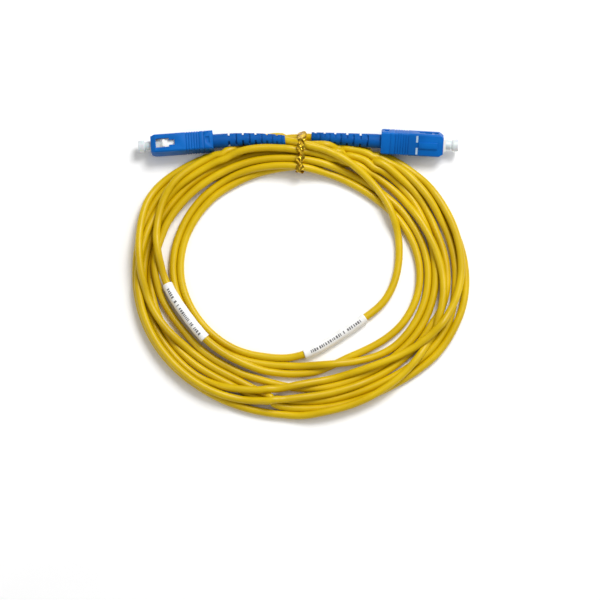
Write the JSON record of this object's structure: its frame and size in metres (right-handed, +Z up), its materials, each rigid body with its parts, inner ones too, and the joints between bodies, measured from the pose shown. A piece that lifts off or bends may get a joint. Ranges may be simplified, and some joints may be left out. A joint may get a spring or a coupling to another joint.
{
  "type": "fiber optic patch cord",
  "caption": "Simplex single-mode fibre optic patch cord: 3 m of yellow 3 mm cord in a flat coil, a blue SC/UPC plug with dust cap on each end.",
  "frame": {"origin": "on the table under the middle of the pair of plugs", "axes": "+X from plug A to plug B, +Y away from the coil, +Z up"},
  "size_m": [0.1341, 0.1175, 0.0103],
  "materials": {
    "blue_plastic": "satin",
    "blue_elastomer": "matte",
    "white_plastic": "satin",
    "zirconia": "polished",
    "steel": "satin",
    "aramid": "matte",
    "yellow_jacket": "satin",
    "clear_plastic": "translucent",
    "gold_foil": "foil"
  },
  "bodies": {
    "cord": {"cord_coil": "yellow_jacket", "cord_lead_a": "yellow_jacket", "cord_lead_b": "yellow_jacket", "label_sleeve_a": "white_plastic", "label_sleeve_b": "white_plastic", "twist_tie": "gold_foil", "plug_frame_a": "white_plastic", "stop_body_a": "steel", "aramid_yarn_a": "aramid", "crimp_sleeve_a": "steel", "tight_buffer_a": "white_plastic", "jacket_end_a": "yellow_jacket", "boot_a": "blue_elastomer", "plug_frame_b": "white_plastic", "stop_body_b": "steel", "aramid_yarn_b": "aramid", "crimp_sleeve_b": "steel", "tight_buffer_b": "white_plastic", "jacket_end_b": "yellow_jacket", "boot_b": "blue_elastomer"},
    "grip_a": {"outer_housing_a": "blue_plastic"},
    "ferrule_assembly_a": {"ferrule_a": "zirconia", "ferrule_flange_a": "steel", "spring_a": "steel"},
    "cap_a": {"dust_cap_a": "clear_plastic"},
    "grip_b": {"outer_housing_b": "blue_plastic"},
    "ferrule_assembly_b": {"ferrule_b": "zirconia", "ferrule_flange_b": "steel", "spring_b": "steel"},
    "cap_b": {"dust_cap_b": "clear_plastic"}
  },
  "joints": [
    {"name": "grip_slide_a", "type": "slide", "parent": "cord", "child": "grip_a", "axis": [0.9972, 0.0697, 0.0262], "range_m": [0, 0.002]},
    {"name": "ferrule_float_a", "type": "slide", "parent": "cord", "child": "ferrule_assembly_a", "axis": [0.9972, 0.0697, 0.0262], "range_m": [0, 0.0015], "stiffness_N_per_m": 1500, "springref_m": -0.0063, "deforming": ["spring_a"]},
    {"name": "cap_pull_a", "type": "slide", "parent": "ferrule_assembly_a", "child": "cap_a", "axis": [-0.9972, -0.0697, -0.0262], "range_m": [0, 0.02]},
    {"name": "grip_slide_b", "type": "slide", "parent": "cord", "child": "grip_b", "axis": [-0.9983, 0.0576, 0], "range_m": [-0.001, 0.001]},
    {"name": "ferrule_float_b", "type": "slide", "parent": "cord", "child": "ferrule_assembly_b", "axis": [-0.9983, 0.0576, 0], "range_m": [0, 0.0015], "stiffness_N_per_m": 1500, "springref_m": -0.0063, "deforming": ["spring_b"]},
    {"name": "cap_pull_b", "type": "slide", "parent": "ferrule_assembly_b", "child": "cap_b", "axis": [0.9983, -0.0576, 0], "range_m": [0, 0.02]}
  ]
}
